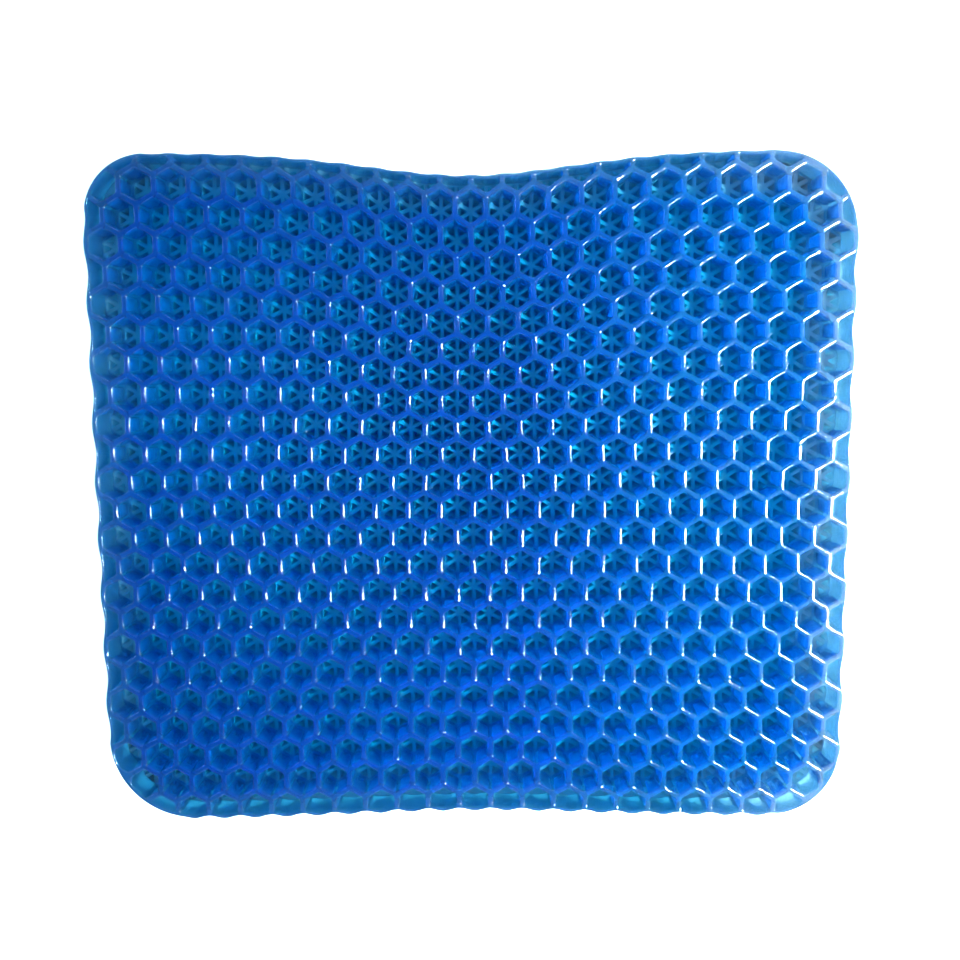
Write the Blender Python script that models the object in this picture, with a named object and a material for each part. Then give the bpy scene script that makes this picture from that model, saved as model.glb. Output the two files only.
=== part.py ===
"""Honeycomb gel seat cushion, modelled in metres with +Z up.

The pad lies flat on z = 0, its front edge towards -Y, with the origin under
the middle of its box. It is one moulding of soft clear gel, and its regions
are separate nodes: a comb of open hexagonal cells on top, in a front and a
rear field that meet along a zigzag of cell walls, a layer below it that the
star ribs stand in, and a thin skin around the edge. Every outline and cell is
laid out straight and then drawn through one smooth pull, set_of_the_gel, which
gives the pad the dished rear edge and the raised corners of a relaxed moulding.
"""

import math

import bmesh
import bpy

MM = 0.001

# Overall sizes
PAD_WIDTH = 400.0 * MM
PAD_DEPTH = 350.0 * MM
PAD_HEIGHT = 35.0 * MM

# Layers and walls
UPPER_COMB_HEIGHT = 17.5 * MM
CELL_PITCH = 17.3 * MM
CELL_WALL = 2.2 * MM
SKIN_THICKNESS = 1.2 * MM
COMB_BORDER = 1.8 * MM
PART_GAP = 0.3 * MM

# Corner radii of the outline
REAR_LEFT_RADIUS = 32.0 * MM
REAR_RIGHT_RADIUS = 42.0 * MM
FRONT_LEFT_RADIUS = 46.0 * MM
FRONT_RIGHT_RADIUS = 38.0 * MM

# The first full row of cells stands this far behind the front edge
FIRST_ROW_SETBACK = 4.8 * MM

# The pull that the gel has taken, in the plane of the pad
REAR_DISH = 12.0 * MM
REAR_CORNER_LIFT = 4.5 * MM
REAR_DISH_WIDTH = 80.0 * MM
REAR_PINCH = 4.0 * MM
REAR_PULL_START = -10.0 * MM
REAR_PULL_LENGTH = 130.0 * MM
FRONT_ARCH = 4.0 * MM
FRONT_CORNER_DROP = 1.6 * MM
FRONT_ARCH_WIDTH = 90.0 * MM
FRONT_PULL_START = 60.0 * MM
FRONT_PULL_LENGTH = 100.0 * MM

# Fineness of the outlines
ARC_STEPS = 8
SIDE_STEPS = 12
SMALLEST_CELL_SHARE = 0.16

HALF_WIDTH = PAD_WIDTH / 2
HALF_DEPTH = PAD_DEPTH / 2
ROW_PITCH = CELL_PITCH * math.sqrt(3) / 2
LOWER_LAYER_HEIGHT = PAD_HEIGHT - UPPER_COMB_HEIGHT - PART_GAP
COMB_INSET = SKIN_THICKNESS + PART_GAP
COLUMNS = math.ceil(PAD_WIDTH / CELL_PITCH) + 2
ROWS = math.ceil(PAD_DEPTH / ROW_PITCH) + 1
SPLIT_ROW = ROWS // 2


def smooth_rise(value):
    """Return 0 below 0, 1 above 1, and an S-curve between."""
    t = min(max(value, 0.0), 1.0)
    return t * t * (3 - 2 * t)


def set_of_the_gel(point):
    """Move a point of the straight layout to where the relaxed gel holds it.

    The rear edge is dished in the middle by a bell curve and lifted at its
    corners, its cells are pinched towards the middle, and the front edge is
    arched a little. Each pull fades out along the depth.
    """
    x, y = point
    rear = smooth_rise((y - REAR_PULL_START) / REAR_PULL_LENGTH)
    front = smooth_rise((-y - FRONT_PULL_START) / FRONT_PULL_LENGTH)
    dish = math.exp(-((x / REAR_DISH_WIDTH) ** 2))
    arch = math.exp(-((x / FRONT_ARCH_WIDTH) ** 2))
    across = x / REAR_DISH_WIDTH
    pinch = across * math.exp((1 - across * across) / 2)
    new_x = x - rear * REAR_PINCH * pinch
    new_y = y + rear * (REAR_CORNER_LIFT - REAR_DISH * dish)
    new_y = new_y + front * (FRONT_ARCH * arch - FRONT_CORNER_DROP)
    return new_x, new_y


def stations(start, end, steps):
    """Return points from start up to, and not including, end."""
    points = []
    for i in range(steps):
        t = i / steps
        points.append((start[0] + (end[0] - start[0]) * t, start[1] + (end[1] - start[1]) * t))
    return points


def corner(x_side, y_side, radius, inset, first_angle):
    """Return the arc of one corner, a quarter turn anticlockwise from first_angle."""
    cx = x_side * (HALF_WIDTH - radius)
    cy = y_side * (HALF_DEPTH - radius)
    points = []
    for i in range(ARC_STEPS + 1):
        a = math.radians(first_angle + 90.0 * i / ARC_STEPS)
        points.append((cx + (radius - inset) * math.cos(a), cy + (radius - inset) * math.sin(a)))
    return points


def corners(inset):
    """Return the four corner arcs of the outline drawn in by inset, anticlockwise."""
    return (
        corner(1, -1, FRONT_RIGHT_RADIUS, inset, 270),
        corner(1, 1, REAR_RIGHT_RADIUS, inset, 0),
        corner(-1, 1, REAR_LEFT_RADIUS, inset, 90),
        corner(-1, -1, FRONT_LEFT_RADIUS, inset, 180),
    )


def outline(inset):
    """Return the whole outline drawn in by inset, anticlockwise."""
    points = []
    arcs = corners(inset)
    for i in range(4):
        points += arcs[i][:-1]
        points += stations(arcs[i][-1], arcs[(i + 1) % 4][0], SIDE_STEPS)
    return points


def row_y(row):
    """Return the y of a row's cell centres in the straight layout."""
    return -HALF_DEPTH + FIRST_ROW_SETBACK + row * ROW_PITCH


def cell_x(row, column):
    """Return the x of a cell's centre; odd rows are shifted by half a pitch."""
    return (column - (COLUMNS - 1) / 2 + (row + COLUMNS + 1) % 2 / 2) * CELL_PITCH


def hexagon(cx, cy):
    """Return the opening of a cell, with corners front and rear and flat sides."""
    radius = (CELL_PITCH - CELL_WALL) / math.sqrt(3)
    points = []
    for i in range(6):
        a = math.radians(30 + 60 * i)
        points.append((cx + radius * math.cos(a), cy + radius * math.sin(a)))
    return points


def area(points):
    """Return the signed area of a polygon."""
    total = 0.0
    for i, (x0, y0) in enumerate(points):
        x1, y1 = points[(i + 1) % len(points)]
        total += x0 * y1 - x1 * y0
    return total / 2


def clipped(points, boundary):
    """Return the part of a polygon inside a convex, anticlockwise boundary."""
    for i, (ax, ay) in enumerate(boundary):
        bx, by = boundary[(i + 1) % len(boundary)]
        kept = []
        for j, (px, py) in enumerate(points):
            qx, qy = points[(j + 1) % len(points)]
            p_side = (bx - ax) * (py - ay) - (by - ay) * (px - ax)
            q_side = (bx - ax) * (qy - ay) - (by - ay) * (qx - ax)
            if p_side >= 0:
                kept.append((px, py))
            if (p_side >= 0) != (q_side >= 0):
                t = p_side / (p_side - q_side)
                kept.append((px + (qx - px) * t, py + (qy - py) * t))
        points = kept
        if len(points) < 3:
            return []
    return points


def without_short_edges(points):
    """Drop each corner that lies within half a wall of the one before it."""
    kept = []
    for i, point in enumerate(points):
        if math.dist(point, points[i - 1]) > CELL_WALL / 2:
            kept.append(point)
    return kept


def cells(first_row, last_row):
    """Return the openings of the rows, those at the edge cut off by the border."""
    boundary = outline(COMB_INSET + COMB_BORDER)
    whole = area(hexagon(0.0, 0.0))
    openings = []
    for row in range(first_row, last_row + 1):
        for column in range(COLUMNS):
            opening = clipped(hexagon(cell_x(row, column), row_y(row)), boundary)
            opening = without_short_edges(opening)
            if len(opening) > 2 and area(opening) > SMALLEST_CELL_SHARE * whole:
                openings.append(opening)
    return openings


def zigzag(shift):
    """Return the wall line between the two fields from left to right, moved by shift in y."""
    y = row_y(SPLIT_ROW)
    half_side = CELL_PITCH / (2 * math.sqrt(3))
    side_x = HALF_WIDTH - COMB_INSET
    inner = []
    for column in range(COLUMNS):
        x = cell_x(SPLIT_ROW, column)
        inner.append((x - CELL_PITCH / 2, y - half_side + shift))
        inner.append((x, y - 2 * half_side + shift))
    points = [point for point in inner if abs(point[0]) < side_x - CELL_WALL / 2]
    left_y = height_on(inner, -side_x)
    right_y = height_on(inner, side_x)
    return [(-side_x, left_y)] + points + [(side_x, right_y)]


def height_on(line, x):
    """Return the y of a left-to-right line of points at x."""
    for (x0, y0), (x1, y1) in zip(line, line[1:]):
        if x0 <= x <= x1:
            return y0 + (y1 - y0) * (x - x0) / (x1 - x0)
    raise ValueError("the line does not reach x")


def front_field_outline():
    """Return the outline of the front comb field, closed behind by the zigzag."""
    front_right, _, _, front_left = corners(COMB_INSET)
    rear_edge = zigzag(-PART_GAP / 2)
    points = stations(rear_edge[0], front_left[0], SIDE_STEPS // 2)
    points += front_left[:-1]
    points += stations(front_left[-1], front_right[0], SIDE_STEPS)
    points += front_right[:-1]
    points += stations(front_right[-1], rear_edge[-1], SIDE_STEPS // 2)
    return points + rear_edge[:0:-1]


def rear_field_outline():
    """Return the outline of the rear comb field, closed in front by the zigzag."""
    _, rear_right, rear_left, _ = corners(COMB_INSET)
    front_edge = zigzag(PART_GAP / 2)
    points = stations(front_edge[-1], rear_right[0], SIDE_STEPS // 2)
    points += rear_right[:-1]
    points += stations(rear_right[-1], rear_left[0], SIDE_STEPS)
    points += rear_left[:-1]
    points += stations(rear_left[-1], front_edge[0], SIDE_STEPS // 2)
    return points + front_edge[:-1]


def gel(name, colour, roughness):
    """Return a material of clear gel in the given colour."""
    material = bpy.data.materials.new(name)
    material.use_nodes = True
    shader = material.node_tree.nodes["Principled BSDF"]
    shader.inputs["Base Color"].default_value = (*colour, 1.0)
    shader.inputs["Roughness"].default_value = roughness
    shader.inputs["Metallic"].default_value = 0.0
    return material


def plate(name, outlines, bottom, height, material, collection, middle_y):
    """Add a flat piece from an outline and its holes, standing on z = bottom."""
    curve = bpy.data.curves.new(name, "CURVE")
    curve.dimensions = "2D"
    curve.fill_mode = "BOTH"
    curve.extrude = height / 2
    for points in outlines:
        spline = curve.splines.new("POLY")
        spline.points.add(len(points) - 1)
        spline.use_cyclic_u = True
        for target, point in zip(spline.points, points):
            x, y = set_of_the_gel(point)
            target.co = (x, y - middle_y, 0.0, 1.0)
    drawing = bpy.data.objects.new(name + "_drawing", curve)
    collection.objects.link(drawing)
    bpy.context.view_layer.update()
    evaluated = drawing.evaluated_get(bpy.context.evaluated_depsgraph_get())
    mesh = bpy.data.meshes.new_from_object(evaluated)
    bpy.data.objects.remove(drawing)
    body = bmesh.new()
    body.from_mesh(mesh)
    bmesh.ops.remove_doubles(body, verts=body.verts, dist=0.01 * MM)
    bmesh.ops.recalc_face_normals(body, faces=body.faces)
    body.to_mesh(mesh)
    body.free()
    mesh.name = name
    piece = bpy.data.objects.new(name, mesh)
    piece.location = (0.0, 0.0, bottom + height / 2)
    mesh.materials.clear()
    mesh.materials.append(material)
    collection.objects.link(piece)
    return piece


def build():
    """Clear the scene and add the four regions of the pad."""
    for old in list(bpy.data.objects):
        bpy.data.objects.remove(old)
    collection = bpy.data.collections.new("honeycomb_gel_seat_cushion")
    bpy.context.scene.collection.children.link(collection)

    edge_y = [set_of_the_gel(point)[1] for point in outline(0.0)]
    middle_y = (max(edge_y) + min(edge_y)) / 2

    rim = [outline(0.0), outline(SKIN_THICKNESS)]
    front_field = [front_field_outline()] + cells(0, SPLIT_ROW - 1)
    rear_field = [rear_field_outline()] + cells(SPLIT_ROW, ROWS)
    upper_bottom = PAD_HEIGHT - UPPER_COMB_HEIGHT

    plate("rim_skin", rim, 0.0, PAD_HEIGHT,
          gel("rim_gel", (0.02, 0.30, 0.75), 0.12), collection, middle_y)
    plate("upper_comb_front", front_field, upper_bottom, UPPER_COMB_HEIGHT,
          gel("front_comb_gel", (0.0, 0.13, 0.62), 0.12), collection, middle_y)
    plate("upper_comb_rear", rear_field, upper_bottom, UPPER_COMB_HEIGHT,
          gel("rear_comb_gel", (0.0, 0.15, 0.66), 0.12), collection, middle_y)
    plate("lower_star_layer", [outline(COMB_INSET)], 0.0, LOWER_LAYER_HEIGHT,
          gel("star_layer_gel", (0.0, 0.18, 0.45), 0.14), collection, middle_y)


build()
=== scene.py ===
"""Looks of the honeycomb gel seat cushion: its comb, its star ribs, its edge skin and the studio.

Lengths are in metres with +Z up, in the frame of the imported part. The pad is laid out
straight first, as a rounded rectangle filled with hexagonal cells in rows that run along X.
Then every point goes through the same pull, which gives the relaxed gel its dished rear
edge and raised corners.
"""

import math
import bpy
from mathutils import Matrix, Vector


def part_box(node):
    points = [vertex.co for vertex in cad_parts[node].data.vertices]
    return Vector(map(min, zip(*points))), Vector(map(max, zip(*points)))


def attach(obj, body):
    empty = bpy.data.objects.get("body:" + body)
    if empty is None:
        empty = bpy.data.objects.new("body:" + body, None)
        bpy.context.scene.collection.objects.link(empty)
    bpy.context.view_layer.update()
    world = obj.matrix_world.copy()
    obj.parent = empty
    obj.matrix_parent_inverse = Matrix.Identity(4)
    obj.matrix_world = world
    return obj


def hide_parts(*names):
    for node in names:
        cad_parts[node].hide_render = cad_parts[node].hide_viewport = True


bl_info = {
    "name": "Honeycomb Gel Seat Cushion",
    "version": (1, 0, 0),
    "blender": (4, 5, 0),
    "location": "3D View > Sidebar > Gel Cushion",
    "description": "Builds a honeycomb gel seat cushion around its packed frame",
    "category": "Add Mesh",
}

import bpy
import numpy as np
from bpy.props import FloatProperty, FloatVectorProperty, PointerProperty
from bpy.types import Operator, Panel, PropertyGroup
from mathutils import Vector

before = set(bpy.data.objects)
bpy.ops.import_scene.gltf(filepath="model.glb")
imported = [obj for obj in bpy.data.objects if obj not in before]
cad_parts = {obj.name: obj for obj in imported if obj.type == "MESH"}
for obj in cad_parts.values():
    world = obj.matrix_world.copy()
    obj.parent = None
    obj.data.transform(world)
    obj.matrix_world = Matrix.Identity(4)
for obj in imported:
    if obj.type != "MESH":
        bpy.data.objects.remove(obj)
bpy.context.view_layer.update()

MM = 0.001

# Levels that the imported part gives
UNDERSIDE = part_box("rim_skin")[0].z
SEAT_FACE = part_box("rim_skin")[1].z
STAR_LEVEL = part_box("upper_comb_front")[0].z

# The straight layout, before the pull
HALF_WIDTH = 200.0 * MM
HALF_DEPTH = 175.0 * MM
BORDER_INSET = 1.05 * MM
BORDER_WALL_SHARE = 0.42
REAR_RADII = (32.0 * MM, 42.0 * MM)
FRONT_RADII = (46.0 * MM, 38.0 * MM)
CELL_SIDES = 6
CREST_RADIUS = 0.9 * MM
WALL_OVERLAP = 1.0 * MM
WEB_THICKNESS = 0.9 * MM

# What the border cuts smaller than these shares is filled flat, and a sliver is left out
SMALLEST_CELL_SHARE = 0.1
SMALLEST_POCKET_SHARE = 0.3
SLIVER_SHARE = 0.01

# The edge wave, the drift and the pull
WAVE_FADE = 7.0 * MM
FRONT_WAVE_SHARE = 1.1
REAR_WAVE_SHARE = 0.4
DRIFT_FADE = 25.0 * MM
REAR_PULL_START = -10.0 * MM
REAR_PULL_REACH = 130.0 * MM
FRONT_PULL_START = 60.0 * MM
FRONT_PULL_REACH = 100.0 * MM
DISH_WIDTH = 80.0 * MM
ARCH_WIDTH = 90.0 * MM
REAR_PINCH = 4.0 * MM
REAR_CORNER_LIFT = 4.5 * MM
FRONT_CORNER_LIFT = 1.6 * MM

# Points closer than the grid are one; the shift keeps round numbers off its steps
WELD_GRID = 1e-6
WELD_SHIFT = 0.37e-6
SHARP_ANGLE = math.radians(60.0)

# The attribute that says how near the outline a point lies
EDGE_SHARE = "edge_share"
EDGE_REACH = 24.0 * MM

FLOOR_REACH = 20.0
FLOOR_STEPS = 24
FLOOR_GAP = 0.05 * MM


# ---------------------------------------------------------------- sizes and colours


class GelCushionSizes(PropertyGroup):
    """Sizes of the cells, walls and ribs, and the pull that the gel has taken."""

    cell_pitch: FloatProperty(
        name="Cell Pitch", description="Distance between the centres of two cells in a row",
        default=17.3 * MM, min=8.0 * MM, max=30.0 * MM, unit="LENGTH")
    first_row_setback: FloatProperty(
        name="First Row Setback", description="Distance of the first row's centres from the front edge",
        default=4.8 * MM, min=0.0, max=15.0 * MM, unit="LENGTH")
    wall_top: FloatProperty(
        name="Wall at the Top", description="Thickness of a cell wall just below its rounded top",
        default=3.1 * MM, min=1.0 * MM, max=5.0 * MM, unit="LENGTH")
    wall_foot: FloatProperty(
        name="Wall at the Foot", description="Thickness of a cell wall where the star layer begins",
        default=4.4 * MM, min=1.0 * MM, max=7.0 * MM, unit="LENGTH")
    rib_width: FloatProperty(
        name="Rib Width", description="Width of a star rib at its top",
        default=2.0 * MM, min=0.8 * MM, max=4.0 * MM, unit="LENGTH")
    edge_wave: FloatProperty(
        name="Edge Wave", description="How far the outline bulges where a row of cells meets it",
        default=0.8 * MM, min=0.0, max=2.0 * MM, unit="LENGTH")
    rear_dish: FloatProperty(
        name="Rear Dish", description="Depth of the dip in the middle of the rear edge",
        default=12.0 * MM, min=0.0, max=30.0 * MM, unit="LENGTH")
    front_arch: FloatProperty(
        name="Front Arch", description="Rise of the front edge in its middle",
        default=4.0 * MM, min=0.0, max=15.0 * MM, unit="LENGTH")
    drift: FloatProperty(
        name="Drift", description="Slow sideways wander of the soft walls",
        default=0.35 * MM, min=0.0, max=2.0 * MM, unit="LENGTH")


class GelCushionColours(PropertyGroup):
    """Colours of the gel, with its painted window light and edge glow, and of the floor."""

    gel: FloatVectorProperty(
        name="Gel", description="Tint of light that has come along a whole wall",
        default=(0.0, 0.16, 0.74), min=0.0, max=1.0, size=3, subtype="COLOR")
    gel_thin: FloatVectorProperty(
        name="Gel, Thin", description="Tint of light that has come across one wall",
        default=(0.006, 0.56, 0.84), min=0.0, max=1.0, size=3, subtype="COLOR")
    # Partly the thin gel's own paler tint and partly a painted glow of light coming in at the edge.
    gel_edge_and_painted_glow: FloatVectorProperty(
        name="Gel, Edge", description="Tint of the thin gel around the edge",
        default=(0.30, 0.66, 0.64), min=0.0, max=1.0, size=3, subtype="COLOR")
    # Painted window light: the pale tint of the edge on the side that faces the window.
    painted_window_glow: FloatVectorProperty(
        name="Gel, Pale Edge", description="Tint of the thin gel on the side that faces the window",
        default=(0.80, 0.94, 0.97), min=0.0, max=1.0, size=3, subtype="COLOR")
    star: FloatVectorProperty(
        name="Star", description="Tint of the star ribs, down between the walls",
        default=(0.0, 0.36, 0.68), min=0.0, max=1.0, size=3, subtype="COLOR")
    floor: FloatVectorProperty(
        name="Floor", description="Colour of the studio floor",
        default=(0.80, 0.80, 0.79), min=0.0, max=1.0, size=3, subtype="COLOR")


# ---------------------------------------------------------------- layout of the pad


def smooth_rise(value):
    """0 below 0, 1 above 1, and t * t * (3 - 2 t) between."""
    t = np.clip(value, 0.0, 1.0)
    return t * t * (3.0 - 2.0 * t)


def corner_radius(x, y):
    """Radius of the outline's corner in the quarter that each point lies in."""
    rear = np.where(x < 0.0, REAR_RADII[0], REAR_RADII[1])
    front = np.where(x < 0.0, FRONT_RADII[0], FRONT_RADII[1])
    return np.where(y < 0.0, front, rear)


def depth_inside(x, y):
    """Distance of each point inwards from the straight layout's outline, negative outside.

    In a corner's square it is the radius less the distance to the arc's centre, and
    elsewhere the distance to the nearer side.
    """
    radius = corner_radius(x, y)
    past_x = np.abs(x) - (HALF_WIDTH - radius)
    past_y = np.abs(y) - (HALF_DEPTH - radius)
    in_corner = (past_x > 0.0) & (past_y > 0.0)
    to_side = np.minimum(HALF_WIDTH - np.abs(x), HALF_DEPTH - np.abs(y))
    return np.where(in_corner, radius - np.hypot(past_x, past_y), to_side)


def held_inside(x, y, inset):
    """Move the points that lie outside the outline drawn in by inset onto it.

    A point in a corner's square moves along its radius, and any other straight to the side.
    """
    radius = corner_radius(x, y)
    centre_x = np.sign(x) * (HALF_WIDTH - radius)
    centre_y = np.sign(y) * (HALF_DEPTH - radius)
    past_x, past_y = x - centre_x, y - centre_y
    in_corner = (past_x * np.sign(x) > 0.0) & (past_y * np.sign(y) > 0.0)
    reach = np.maximum(np.hypot(past_x, past_y), WELD_GRID)
    shrink = np.minimum(1.0, (radius - inset) / reach)
    side_x = np.clip(x, inset - HALF_WIDTH, HALF_WIDTH - inset)
    side_y = np.clip(y, inset - HALF_DEPTH, HALF_DEPTH - inset)
    held_x = np.where(in_corner, centre_x + past_x * shrink, side_x)
    held_y = np.where(in_corner, centre_y + past_y * shrink, side_y)
    return held_x, held_y


class PadLayout:
    """The rows of cells and the pull, worked out from the sizes."""

    def __init__(self, sizes):
        self.sizes = sizes
        self.pitch = sizes.cell_pitch
        self.row_pitch = self.pitch * math.sqrt(3.0) / 2.0
        self.first_row = -HALF_DEPTH + sizes.first_row_setback
        edge_y = self.pulled(*outline_points(0.0))[1]
        self.middle_y = (edge_y.max() + edge_y.min()) / 2.0

    def cell_centres(self):
        """Centres of all cells that may reach inside the border, as two arrays.

        Row r stands at first_row + r * row_pitch, and odd rows are shifted by half a pitch.
        """
        rows = np.arange(math.ceil(2.0 * HALF_DEPTH / self.row_pitch) + 1)
        reach = math.ceil(HALF_WIDTH / self.pitch) + 1
        columns = np.arange(-reach, reach + 1)
        row, column = np.meshgrid(rows, columns, indexing="ij")
        x = (column + (row % 2) / 2.0) * self.pitch
        y = self.first_row + row * self.row_pitch
        return x.ravel(), y.ravel()

    def waved(self, x, y):
        """Push points near the edge outwards in a gentle wave.

        On the sides it is a cosine that peaks at every second row, where a whole cell meets
        the skin, and along the front one that peaks at every cell. It fades out inwards.
        """
        near = smooth_rise(1.0 - depth_inside(x, y) / WAVE_FADE)
        radius = corner_radius(x, y)
        along_side = smooth_rise((HALF_DEPTH - radius - np.abs(y)) / WAVE_FADE + 1.0)
        along_front = smooth_rise((HALF_WIDTH - radius - np.abs(x)) / WAVE_FADE + 1.0)
        at_side = smooth_rise((np.abs(x) - HALF_WIDTH + WAVE_FADE) / WAVE_FADE)
        at_end = smooth_rise((np.abs(y) - HALF_DEPTH + WAVE_FADE) / WAVE_FADE)
        wave_y = np.cos(math.pi * (y - self.first_row) / self.row_pitch)
        wave_x = np.cos(2.0 * math.pi * x / self.pitch)
        size = self.sizes.edge_wave * near
        out_x = np.sign(x) * size * along_side * at_side * wave_y
        end = np.where(y < 0.0, -FRONT_WAVE_SHARE, REAR_WAVE_SHARE)
        out_y = end * size * along_front * at_end * wave_x
        return x + out_x, y + out_y

    def pulled(self, x, y):
        """The pull that dishes the rear edge and arches the front one.

        Each is a bell curve in x less a constant, which moves the corners outwards. The rear
        cells are pinched towards the middle, and each pull fades out along y.
        """
        rear = smooth_rise((y - REAR_PULL_START) / REAR_PULL_REACH)
        front = smooth_rise((-y - FRONT_PULL_START) / FRONT_PULL_REACH)
        across = x / DISH_WIDTH
        dish = np.exp(-(across ** 2))
        arch = np.exp(-((x / ARCH_WIDTH) ** 2))
        pinch = across * np.exp((1.0 - across ** 2) / 2.0)
        new_x = x - rear * REAR_PINCH * pinch
        new_y = y + rear * (REAR_CORNER_LIFT - self.sizes.rear_dish * dish)
        new_y = new_y + front * (self.sizes.front_arch * arch - FRONT_CORNER_LIFT)
        return new_x, new_y

    def settled(self, x, y):
        """Where a point of the straight layout ends up: waved, drifted, pulled and centred.

        The drift is a sum of slow sines of both coordinates, which fades out at the edge.
        """
        x, y = self.waved(x, y)
        inside = smooth_rise(depth_inside(x, y) / DRIFT_FADE)
        drift = self.sizes.drift * inside
        x = x + drift * (np.sin(61.0 * y + 23.0 * x + 0.7) + 0.6 * np.sin(139.0 * x - 47.0 * y))
        y = y + drift * (np.sin(53.0 * x - 31.0 * y + 2.1) + 0.6 * np.sin(127.0 * y + 71.0 * x))
        x, y = self.pulled(x, y)
        return x, y - self.middle_y


def outline_points(inset, arc_steps=24, side_steps=90):
    """The outline drawn in by inset, anticlockwise: four arcs joined by straight sides.

    The same step along the outline keeps its index at any inset.
    """
    corners = (
        (1, -1, FRONT_RADII[1], -90.0),
        (1, 1, REAR_RADII[1], 0.0),
        (-1, 1, REAR_RADII[0], 90.0),
        (-1, -1, FRONT_RADII[0], 180.0),
    )
    arcs = []
    for side_x, side_y, radius, start in corners:
        angle = np.radians(start + 90.0 * np.linspace(0.0, 1.0, arc_steps + 1))
        x = side_x * (HALF_WIDTH - radius) + (radius - inset) * np.cos(angle)
        y = side_y * (HALF_DEPTH - radius) + (radius - inset) * np.sin(angle)
        arcs.append(np.stack([x, y], axis=1))
    parts = []
    for i, arc in enumerate(arcs):
        following = arcs[(i + 1) % len(arcs)][0]
        share = np.linspace(0.0, 1.0, side_steps, endpoint=False)[:, None]
        parts += [arc[:-1], arc[-1] + (following - arc[-1]) * share]
    points = np.concatenate(parts)
    return points[:, 0], points[:, 1]


# ---------------------------------------------------------------- mesh helpers


def welded(points, quads):
    """Merge points that coincide and clean the quads that this shortens.

    Returns which points were kept, their places, the quads and the triangles. A quad with
    one repeated corner has become a triangle, and one with more has gone.
    """
    grid = np.round((points + WELD_SHIFT) / WELD_GRID).astype(np.int64)
    _, first, index = np.unique(grid, axis=0, return_index=True, return_inverse=True)
    quads = index.reshape(-1)[quads]
    repeats = quads == np.roll(quads, -1, axis=1)
    whole = quads[~repeats.any(axis=1)]
    crossed = (whole[:, 0] == whole[:, 2]) | (whole[:, 1] == whole[:, 3])
    whole = whole[~crossed]
    short = quads[repeats.sum(axis=1) == 1]
    turn = np.argmax(short == np.roll(short, -1, axis=1), axis=1)
    order = (turn[:, None] + np.arange(1, 4)[None, :]) % 4
    triangles = np.take_along_axis(short, order, axis=1)
    flat = ((triangles[:, 0] == triangles[:, 1]) | (triangles[:, 1] == triangles[:, 2])
            | (triangles[:, 2] == triangles[:, 0]))
    return first, points[first], whole, triangles[~flat]


def ring_bands(shapes, rings, steps):
    """Quads between following rings of closed loops, for points kept as (shape, ring, step)."""
    shape, ring, step = np.meshgrid(
        np.arange(shapes), np.arange(rings - 1), np.arange(steps), indexing="ij")
    base = (shape * rings + ring) * steps
    following = (step + 1) % steps
    quads = np.stack([base + step, base + following, base + steps + following, base + steps + step], -1)
    return quads.reshape(-1, 4)


def side_walls(points, shapes, rings, steps):
    """Quads that close the outside between the first and the last ring of each shape.

    Only an edge that no neighbouring shape shares gets one.
    """
    shape, step = np.meshgrid(np.arange(shapes), np.arange(steps), indexing="ij")
    top = shape * rings * steps + step
    top_next = shape * rings * steps + (step + 1) % steps
    grid = np.round((points + WELD_SHIFT) / WELD_GRID).astype(np.int64)
    _, index = np.unique(grid, axis=0, return_inverse=True)
    index = index.reshape(-1)
    ends = np.sort(np.stack([index[top], index[top_next]], -1).reshape(-1, 2), axis=1)
    _, which, count = np.unique(ends, axis=0, return_inverse=True, return_counts=True)
    lone = (count[which.reshape(-1)] == 1) & (ends[:, 0] != ends[:, 1])
    top, top_next = top.ravel()[lone], top_next.ravel()[lone]
    drop = (rings - 1) * steps
    return np.stack([top + drop, top_next + drop, top_next, top], -1)


def make_piece(name, points, quads, edge_share=None):
    """Put welded points and faces into a new mesh object at the origin, smooth shaded.

    edge_share, one number for each point, is kept as the attribute EDGE_SHARE.
    """
    first, merged, whole, triangles = welded(points, quads)
    mesh = bpy.data.meshes.new(name)
    mesh.vertices.add(len(merged))
    mesh.vertices.foreach_set("co", merged.astype(np.float32).ravel())
    loops = np.concatenate([whole.ravel(), triangles.ravel()])
    mesh.loops.add(len(loops))
    mesh.loops.foreach_set("vertex_index", loops.astype(np.int32))
    sizes = np.concatenate([np.full(len(whole), 4), np.full(len(triangles), 3)])
    mesh.polygons.add(len(sizes))
    starts = np.concatenate([[0], np.cumsum(sizes)[:-1]])
    mesh.polygons.foreach_set("loop_start", starts.astype(np.int32))
    mesh.update(calc_edges=True)
    mesh.validate()
    if edge_share is not None:
        layer = mesh.attributes.new(EDGE_SHARE, "FLOAT", "POINT")
        layer.data.foreach_set("value", edge_share[first].astype(np.float32))
    mesh.shade_smooth()
    mesh.set_sharp_from_angle(angle=SHARP_ANGLE)
    piece = bpy.data.objects.new(name, mesh)
    bpy.context.scene.collection.objects.link(piece)
    return piece


def dress(piece, material, nodes):
    """Give a piece its material, hang it on the root body and hide the frame's parts that it stands for.
    """
    piece.data.materials.append(material)
    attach(piece, "root")
    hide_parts(*nodes)


# ---------------------------------------------------------------- the three pieces


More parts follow.
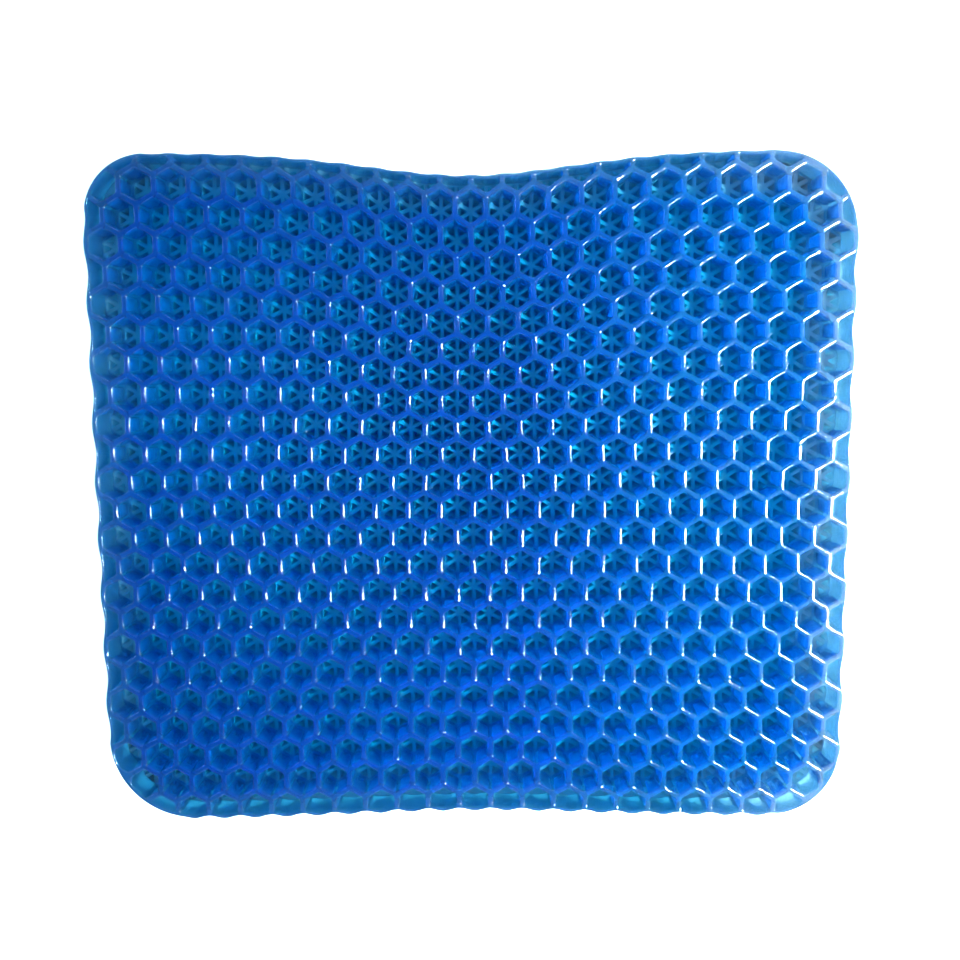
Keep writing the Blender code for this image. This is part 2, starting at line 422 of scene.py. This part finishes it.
def hexagon_ring(centre_x, centre_y, apothem, radius, sharp=False):
    """Four points for each corner of a rounded hexagon, as two arrays (cell, point).

    For the corner at angle k they are the start, middle and end of its arc, which are the
    arc's centre plus the radius times the unit vectors at k - 30, k and k + 30 degrees,
    and the middle of the side that follows. A sharp ring keeps the corner itself as the
    middle point.
    """
    corner = np.radians(30.0 + 60.0 * np.arange(CELL_SIDES))[:, None]
    out = (apothem - radius) / math.cos(math.radians(30.0))
    turn = np.radians([-30.0, 0.0, 30.0])[None, :]
    reach = np.full((1, 3), radius)
    if sharp:
        reach[0, 1] = apothem / math.cos(math.radians(30.0)) - out
    x = out * np.cos(corner) + reach * np.cos(corner + turn)
    y = out * np.sin(corner) + reach * np.sin(corner + turn)
    side = corner + math.radians(30.0)
    x = np.concatenate([x, apothem * np.cos(side)], axis=1).ravel()
    y = np.concatenate([y, apothem * np.sin(side)], axis=1).ravel()
    return centre_x[:, None] + x[None, :], centre_y[:, None] + y[None, :]


def polygon_area(x, y):
    """Area of each closed polygon, half the sum of its cross products."""
    return 0.5 * np.sum(x * np.roll(y, -1, axis=1) - np.roll(x, -1, axis=1) * y, axis=1)


def rings_to_points(layout, rings):
    """Stack rings of (x, y, z) into settled points, with each one's share of the edge.

    The share falls evenly from 1 at the outline to 0 at EDGE_REACH inside it.
    """
    x = np.stack([ring[0] for ring in rings], axis=1)
    y = np.stack([ring[1] for ring in rings], axis=1)
    z = np.stack([ring[2] for ring in rings], axis=1)
    edge_share = np.clip(1.0 - depth_inside(x, y) / EDGE_REACH, 0.0, 1.0)
    x, y = layout.settled(x, y)
    return np.stack([x, y, z], axis=-1).reshape(-1, 3), edge_share.ravel()


def piece_from_rings(name, layout, rings):
    """Join the rings of each cell or window with bands of quads, and close the outside."""
    points, edge_share = rings_to_points(layout, rings)
    shapes, steps = rings[0][0].shape
    quads = ring_bands(shapes, len(rings), steps)
    quads = np.concatenate([quads, side_walls(points, shapes, len(rings), steps)])
    return make_piece(name, points, quads, edge_share)


def comb_rings(layout):
    """Rings of every upper cell, from the shared line on the wall tops down to the wall feet.

    Each cell is a rounded hexagon that narrows in steps: over the rounded wall top, down
    the tapering wall, and back under the wall to the shared line. Cells that are cut to
    less than a small share by the border are filled flat: their rings meet in their middle.
    """
    sizes = layout.sizes
    top_half, foot_half = sizes.wall_top / 2.0, sizes.wall_foot / 2.0
    foot = STAR_LEVEL - WALL_OVERLAP
    profile = (
        (0.30 * top_half, 0.02 * MM, 1.2),
        (0.58 * top_half, 0.13 * MM, 1.3),
        (0.82 * top_half, 0.42 * MM, 1.4),
        (0.97 * top_half, 1.0 * MM, 1.5),
        (1.08 * top_half, 2.2 * MM, 1.6),
        (foot_half, SEAT_FACE - foot, 2.4),
    )
    centre_x, centre_y = layout.cell_centres()
    border_x, border_y = held_inside(
        *hexagon_ring(centre_x, centre_y, layout.pitch / 2.0, CREST_RADIUS, sharp=True), BORDER_INSET)
    share = polygon_area(border_x, border_y) / (layout.pitch ** 2 * math.sqrt(3.0) / 2.0)
    kept = share > SLIVER_SHARE
    centre_x, centre_y, share = centre_x[kept], centre_y[kept], share[kept]
    border_x, border_y = border_x[kept], border_y[kept]
    filled = (share < SMALLEST_CELL_SHARE)[:, None]
    middle_x = border_x.mean(axis=1)[:, None]
    middle_y = border_y.mean(axis=1)[:, None]
    rings = [(border_x, border_y, np.full_like(border_x, SEAT_FACE))]
    for offset, drop, radius in profile:
        x, y = hexagon_ring(centre_x, centre_y, layout.pitch / 2.0 - offset, radius * MM)
        x, y = held_inside(x, y, BORDER_INSET + BORDER_WALL_SHARE * offset)
        z = np.where(filled, SEAT_FACE, SEAT_FACE - drop) + np.zeros_like(x)
        rings.append((np.where(filled, middle_x, x), np.where(filled, middle_y, y), z))
    last = rings[-1]
    rings[-1] = (last[0], last[1], np.full_like(last[0], foot))
    rings.append((border_x, border_y, np.full_like(border_x, foot)))
    return rings


def build_comb(layout):
    """The upper comb: all cell walls of the seat side in one piece."""
    return piece_from_rings("upper_comb_gel", layout, comb_rings(layout))


def sector_ring(centre_x, centre_y, pitch, rib, wall, radius):
    """Six points of each star window, as two arrays (window, point).

    A window is the equilateral triangle between two ribs and a wall: its sides are drawn in
    by rib and wall from the sector's own sides, and each corner is cut across at radius.
    """
    rise = math.sqrt(3.0)
    near, far = 2.0 * rib, pitch / 2.0 - wall
    half = (far - near) / rise
    along = np.array([near + 1.5 * radius, far - 1.5 * radius, far, far,
                      far - 1.5 * radius, near + 1.5 * radius])
    cut = rise / 2.0 * radius
    across = np.array([-cut, cut - half, 2.0 * cut - half, half - 2.0 * cut, half - cut, cut])
    turn = np.radians(60.0 * np.arange(CELL_SIDES))[:, None]
    x = np.cos(turn) * along[None, :] - np.sin(turn) * across[None, :]
    y = np.sin(turn) * along[None, :] + np.cos(turn) * across[None, :]
    x = centre_x[:, None, None] + x[None]
    y = centre_y[:, None, None] + y[None]
    return x.reshape(-1, 6), y.reshape(-1, 6)


def star_rings(layout):
    """Rings of every window of the star layer, from the rib tops down to the underside.

    A thin web closes each window at the bottom. Windows whose foot is cut to less than a
    small share by the border are filled flat.
    """
    sizes = layout.sizes
    half_rib = sizes.rib_width / 2.0
    half_wall = sizes.wall_foot / 2.0
    web = UNDERSIDE + WEB_THICKNESS
    profile = (
        (0.80 * half_rib, 0.90 * half_wall, 0.03 * MM, 0.35),
        (1.08 * half_rib, 1.02 * half_wall, 0.40 * MM, 0.4),
        (1.70 * half_rib, 1.20 * half_wall, STAR_LEVEL - web, 0.4),
    )
    centre_x, centre_y = layout.cell_centres()
    x, y = sector_ring(centre_x, centre_y, layout.pitch, 0.0, 0.0, 0.0)
    border_x, border_y = held_inside(x, y, BORDER_INSET)
    share = polygon_area(border_x, border_y) / (layout.pitch ** 2 / (4.0 * math.sqrt(3.0)))
    kept = share > SLIVER_SHARE
    border_x, border_y = border_x[kept], border_y[kept]
    rib, wall, _, radius = profile[-1]
    foot_x, foot_y = sector_ring(centre_x, centre_y, layout.pitch, rib, wall, radius * MM)
    foot_x, foot_y = held_inside(foot_x[kept], foot_y[kept], BORDER_INSET + BORDER_WALL_SHARE * wall)
    foot_area = polygon_area(foot_x, foot_y)
    filled = (foot_area < SMALLEST_POCKET_SHARE * foot_area.max())[:, None]
    middle_x = np.where(filled, border_x.mean(axis=1)[:, None], foot_x.mean(axis=1)[:, None])
    middle_y = np.where(filled, border_y.mean(axis=1)[:, None], foot_y.mean(axis=1)[:, None])
    rings = [(border_x, border_y, np.full_like(border_x, STAR_LEVEL))]
    for rib, wall, drop, radius in profile:
        x, y = sector_ring(centre_x, centre_y, layout.pitch, rib, wall, radius * MM)
        x, y = held_inside(x[kept], y[kept], BORDER_INSET + BORDER_WALL_SHARE * wall)
        z = np.where(filled, STAR_LEVEL, STAR_LEVEL - drop) + np.zeros_like(x)
        rings.append((np.where(filled, middle_x, x), np.where(filled, middle_y, y), z))
    point_x = middle_x + np.zeros_like(border_x)
    point_y = middle_y + np.zeros_like(border_y)
    rings.append((point_x, point_y, np.where(filled, STAR_LEVEL, web) + np.zeros_like(point_x)))
    rings.append((point_x, point_y, np.full_like(point_x, UNDERSIDE)))
    rings.append((border_x, border_y, np.full_like(border_x, UNDERSIDE)))
    return rings


def build_star_layer(layout):
    """The lower layer: cell walls with a six-ribbed star in each cell, on a thin web of gel."""
    return piece_from_rings("star_rib_layer_gel", layout, star_rings(layout))


def build_skin(layout):
    """The skin around the edge: one closed profile carried along the outline.

    The profile goes from the inside over a rounded top, down the outside and back in at
    the underside.
    """
    profile = (
        (1.75, SEAT_FACE - 1.1 * MM),
        (1.35, SEAT_FACE - 0.22 * MM),
        (1.05, SEAT_FACE),
        (0.62, SEAT_FACE - 0.08 * MM),
        (0.26, SEAT_FACE - 0.34 * MM),
        (0.05, SEAT_FACE - 0.9 * MM),
        (0.0, SEAT_FACE - 2.0 * MM),
        (0.0, UNDERSIDE + 1.2 * MM),
        (0.12, UNDERSIDE + 0.4 * MM),
        (0.5, UNDERSIDE),
        (1.75, UNDERSIDE),
    )
    rings = []
    for inset, z in profile:
        x, y = outline_points(inset * MM)
        x, y = layout.settled(x, y)
        rings.append(np.stack([x, y, np.full_like(x, z)], axis=-1))
    points = np.stack(rings)
    loops, steps = points.shape[:2]
    ring, step = np.meshgrid(np.arange(loops), np.arange(steps), indexing="ij")
    following, after = (step + 1) % steps, (ring + 1) % loops
    quads = np.stack([ring * steps + step, after * steps + step,
                      after * steps + following, ring * steps + following], -1).reshape(-1, 4)
    return make_piece("edge_skin_gel", points.reshape(-1, 3), quads, np.ones(loops * steps))


# ---------------------------------------------------------------- materials


class Value:
    """A shader value. Arithmetic on it adds Math nodes to its material."""

    def __init__(self, shader, socket):
        self.shader = shader
        self.socket = socket

    def __add__(self, other):
        return self.shader.math("ADD", self, other)

    def __sub__(self, other):
        return self.shader.math("SUBTRACT", self, other)

    def __rsub__(self, other):
        return self.shader.math("SUBTRACT", other, self)

    def __mul__(self, other):
        return self.shader.math("MULTIPLY", self, other)

    __radd__ = __add__
    __rmul__ = __mul__


class Shader:
    """The node tree of one material or world, cleared first."""

    def __init__(self, owner):
        owner.use_nodes = True
        self.tree = owner.node_tree
        self.tree.nodes.clear()

    def node(self, kind, settings=None, sockets=None, output=0):
        """Add a node: its settings come first, then the values or links of its sockets."""
        node = self.tree.nodes.new(kind)
        for key, value in (settings or {}).items():
            setattr(node, key, value)
        for key, value in (sockets or {}).items():
            if isinstance(value, Value):
                self.tree.links.new(value.socket, node.inputs[key])
            else:
                node.inputs[key].default_value = value
        return Value(self, node.outputs[output]) if node.outputs else node

    def math(self, operation, *values):
        """A Math node on one, two or three values."""
        return self.node("ShaderNodeMath", {"operation": operation}, dict(enumerate(values)))

    def clamped(self, value):
        """A value held between 0 and 1."""
        return self.node("ShaderNodeClamp", None, {0: value})

    def rise(self, value, low, high):
        """0 below low, 1 above high and an S-curve between."""
        settings = {"interpolation_type": "SMOOTHSTEP"}
        return self.node("ShaderNodeMapRange", settings, {0: value, 1: low, 2: high})

    def blend(self, share, first, second):
        """A mix of two colours."""
        return self.node("ShaderNodeMix", {"data_type": "RGBA"}, {0: share, 6: first, 7: second}, 2)

    def place(self):
        """The Object coordinates."""
        return self.node("ShaderNodeTexCoord", output=3)

    def axis(self, vector, index):
        """One number of a vector: 0 for x, 1 for y and 2 for z."""
        return self.node("ShaderNodeSeparateXYZ", None, {0: vector}, index)

    def noise(self, place, scale, detail=2.0, roughness=0.5):
        """Soft noise between 0 and 1."""
        sockets = {"Vector": place, "Scale": scale, "Detail": detail, "Roughness": roughness}
        return self.node("ShaderNodeTexNoise", None, sockets)


def opaque(colour, factor=1.0):
    """A colour property as the four numbers of a colour socket, scaled by factor."""
    return (*[min(1.0, channel * factor) for channel in colour], 1.0)


def gel_material(name, colours, deep, glow_colour, clear, glow_share):
    """Clear glossy gel that tints light by how much gel it has come through.

    A face that looks up or down stands for light along a whole wall, so it takes the deep
    colour, and a face that looks sideways for light across one, so it takes the thin one.
    The side that faces the window leans towards the thin one, which is painted window light.
    All turn towards the edge colour near the outline, partly for the thinner gel there and
    partly as a painted glow of light coming in at the edge, and to a pale one where it faces
    the window, which is painted window light. Slow noise lets the tint wander, and fine
    noise ripples the surface.
    """
    material = bpy.data.materials.new(name)
    shader = Shader(material)
    place = shader.place()
    across = shader.axis(place, 0)
    upright = shader.math("ABSOLUTE", shader.axis(shader.node("ShaderNodeNewGeometry", output=1), 2))
    wander = shader.noise(place, 26.0)
    # Painted window light: the gel towards the window side (+X) takes the lighter, thinner tint.
    painted_window_light = shader.rise(across, 0.0, 0.16)
    depth = shader.clamped(shader.rise(upright, 0.1, 0.8) + (wander - 0.5) * 0.4 - painted_window_light * 0.6)
    body = shader.blend(depth, opaque(colours.gel_thin), opaque(deep))
    near_edge = shader.node("ShaderNodeAttribute", {"attribute_name": EDGE_SHARE}, None, 2)
    # Near the outline the tint turns towards the edge colour: partly the thinner gel, partly a painted
    # glow of light coming in at the edge.
    body = shader.blend(near_edge * near_edge * 0.6, body, opaque(colours.gel_edge_and_painted_glow))
    # Painted window light: the edge on the window side turns pale.
    painted_window_pale = shader.rise(across, 0.10, 0.18) * near_edge * 0.8
    body = shader.blend(painted_window_pale, body, opaque(colours.painted_window_glow))
    ripple = shader.noise(place, 170.0, 3.0)
    bump = shader.node("ShaderNodeBump", None, {"Strength": 0.2, "Distance": 0.5 * MM, "Height": ripple})
    gloss = shader.node(
        "ShaderNodeBsdfPrincipled", None,
        {"Base Color": body, "Roughness": 0.08 + wander * 0.06, "IOR": 1.42, "Normal": bump,
         "Transmission Weight": clear})
    glow = shader.node("ShaderNodeBsdfTranslucent", None, {"Color": opaque(glow_colour)})
    mixed = shader.node("ShaderNodeMixShader", None, {0: glow_share, 1: gloss, 2: glow})
    shader.node("ShaderNodeOutputMaterial", None, {"Surface": mixed})
    return material


def floor_material(colours):
    """Matt pale floor with a barely visible tone."""
    material = bpy.data.materials.new("studio_floor_paint")
    shader = Shader(material)
    tone = shader.noise(shader.place(), 3.0)
    colour = shader.blend(tone * 0.05, opaque(colours.floor), opaque(colours.floor, 0.9))
    paint = shader.node("ShaderNodeBsdfPrincipled", None, {"Base Color": colour, "Roughness": 0.8})
    shader.node("ShaderNodeOutputMaterial", None, {"Surface": paint})
    return material


# ---------------------------------------------------------------- operators


class GEL_OT_comb(Operator):
    """Build the upper comb of open hexagonal cells"""

    bl_idname = "gel_cushion.comb"
    bl_label = "Build Upper Comb"

    def execute(self, context):
        sizes, colours = context.scene.gel_sizes, context.scene.gel_colours
        piece = build_comb(PadLayout(sizes))
        material = gel_material("comb_gel_blue", colours, colours.gel, colours.gel, 0.96, 0.14)
        dress(piece, material, ("upper_comb_front", "upper_comb_rear"))
        return {"FINISHED"}


class GEL_OT_star_layer(Operator):
    """Build the lower layer with a six-ribbed star in each cell"""

    bl_idname = "gel_cushion.star_layer"
    bl_label = "Build Star Layer"

    def execute(self, context):
        sizes, colours = context.scene.gel_sizes, context.scene.gel_colours
        piece = build_star_layer(PadLayout(sizes))
        material = gel_material("star_gel_teal", colours, colours.star, colours.star, 0.75, 0.25)
        dress(piece, material, ("lower_star_layer",))
        return {"FINISHED"}


class GEL_OT_edge_skin(Operator):
    """Build the thin skin that closes the cells around the edge"""

    bl_idname = "gel_cushion.edge_skin"
    bl_label = "Build Edge Skin"

    def execute(self, context):
        sizes, colours = context.scene.gel_sizes, context.scene.gel_colours
        piece = build_skin(PadLayout(sizes))
        # The rim's paler tint is partly thin gel and partly a painted glow of light at the edge.
        material = gel_material("rim_gel_thin_and_painted_glow", colours, colours.gel, colours.gel_edge_and_painted_glow, 0.96, 0.06)
        dress(piece, material, ("rim_skin",))
        return {"FINISHED"}


def add_light(name, place, target, size, power, colour=(1.0, 1.0, 1.0), spread=180.0):
    """A rectangular soft light at place, turned towards target, with its spread in degrees."""
    light = bpy.data.lights.new(name, "AREA")
    light.shape = "RECTANGLE"
    light.size, light.size_y = size
    light.energy = power
    light.color = colour
    light.spread = math.radians(spread)
    lamp = bpy.data.objects.new(name, light)
    lamp.location = place
    lamp.rotation_euler = (Vector(target) - Vector(place)).to_track_quat("-Z", "Y").to_euler()
    bpy.context.scene.collection.objects.link(lamp)


def add_floor(colours):
    """The floor: a wide flat grid just under the pad."""
    count = FLOOR_STEPS + 1
    steps = np.linspace(-FLOOR_REACH, FLOOR_REACH, count)
    x, y = np.meshgrid(steps, steps, indexing="ij")
    z = np.full_like(x, UNDERSIDE - FLOOR_GAP)
    points = np.stack([x, y, z], -1).reshape(-1, 3)
    i, j = np.meshgrid(np.arange(FLOOR_STEPS), np.arange(FLOOR_STEPS), indexing="ij")
    corner = i * count + j
    quads = np.stack([corner, corner + count, corner + count + 1, corner + 1], -1).reshape(-1, 4)
    floor = make_piece("studio_floor", points, quads)
    floor.data.materials.append(floor_material(colours))


def add_overhead_light():
    """One very wide soft light from overhead for the floor, which leaves no glints on the gel."""
    light = bpy.data.lights.new("overhead_light", "SUN")
    light.energy = 3.8
    light.angle = math.radians(60.0)
    lamp = bpy.data.objects.new("overhead_light", light)
    lamp.rotation_euler = (0.0, math.radians(4.0), 0.0)
    lamp.visible_glossy = False
    lamp.visible_transmission = False
    bpy.context.scene.collection.objects.link(lamp)


def add_air(scene):
    """The light of the air around: pale up to well above eye level and blue overhead."""
    world = bpy.data.worlds.new("studio_air")
    shader = Shader(world)
    towards = shader.node("ShaderNodeTexCoord", output=0)
    height = shader.rise(shader.axis(towards, 2), 0.40, 0.60)
    colour = shader.blend(height, opaque((0.55, 0.57, 0.58)), opaque((0.03, 0.5, 1.0)))
    air = shader.node("ShaderNodeBackground", None, {"Color": colour, "Strength": 1.75})
    shader.node("ShaderNodeOutputWorld", None, {"Surface": air})
    scene.world = world


class GEL_OT_studio(Operator):
    """Build the pale floor, the soft lights and the camera"""

    bl_idname = "gel_cushion.studio"
    bl_label = "Build Studio"

    def execute(self, context):
        scene = context.scene
        add_floor(scene.gel_colours)
        middle = (0.0, 0.0, SEAT_FACE)
        cool = (0.35, 0.75, 1.0)
        add_overhead_light()
        add_light("window_light", (0.88, -0.18, 1.20), (0.17, -0.01, SEAT_FACE),
                  (0.48, 0.40), 7.5, spread=18.0)
        add_light("second_window", (0.80, -0.10, 1.20), (-0.13, 0.047, SEAT_FACE),
                  (0.12, 0.12), 0.16, spread=5.5)
        add_light("right_fill", (1.1, -0.15, 0.30), middle, (0.45, 0.25), 30.0, (0.45, 1.0, 0.95))
        add_light("left_fill", (-1.3, 0.25, 0.40), middle, (0.7, 0.4), 8.0, cool)
        add_light("rear_fill", (0.1, 1.4, 0.40), middle, (0.9, 0.3), 8.0, cool)
        add_light("front_fill", (-0.1, -1.4, 0.40), middle, (1.2, 0.3), 8.0, cool)
        add_air(scene)
        scene.view_settings.view_transform = "Standard"
        camera = bpy.data.cameras.new("camera")
        camera.lens = 34.9
        camera.sensor_width = 36.0
        camera.clip_start = 0.01
        holder = bpy.data.objects.new("camera", camera)
        holder.location = (0.0041, 0.065, SEAT_FACE + 0.4895)
        holder.rotation_euler = (math.radians(-6.5), 0.0, -0.006)
        scene.collection.objects.link(holder)
        scene.camera = holder
        return {"FINISHED"}


OPERATORS = (GEL_OT_comb, GEL_OT_star_layer, GEL_OT_edge_skin, GEL_OT_studio)


class GEL_PT_cushion(Panel):
    """Sidebar panel with the sizes, the colours and one button for each piece"""

    bl_label = "Gel Cushion"
    bl_idname = "GEL_PT_cushion"
    bl_space_type = "VIEW_3D"
    bl_region_type = "UI"
    bl_category = "Gel Cushion"

    def draw(self, context):
        column = self.layout.column()
        for group in (context.scene.gel_sizes, context.scene.gel_colours):
            for name in group.__annotations__:
                column.prop(group, name)
        for operator in OPERATORS:
            column.operator(operator.bl_idname)


CLASSES = (GelCushionSizes, GelCushionColours, *OPERATORS, GEL_PT_cushion)


def register():
    for cls in CLASSES:
        bpy.utils.register_class(cls)
    bpy.types.Scene.gel_sizes = PointerProperty(type=GelCushionSizes)
    bpy.types.Scene.gel_colours = PointerProperty(type=GelCushionColours)


def unregister():
    del bpy.types.Scene.gel_colours
    del bpy.types.Scene.gel_sizes
    for cls in reversed(CLASSES):
        bpy.utils.unregister_class(cls)


def main():
    register()
    bpy.ops.gel_cushion.comb()
    bpy.ops.gel_cushion.star_layer()
    bpy.ops.gel_cushion.edge_skin()
    bpy.ops.gel_cushion.studio()


if __name__ == "__main__":
    main()
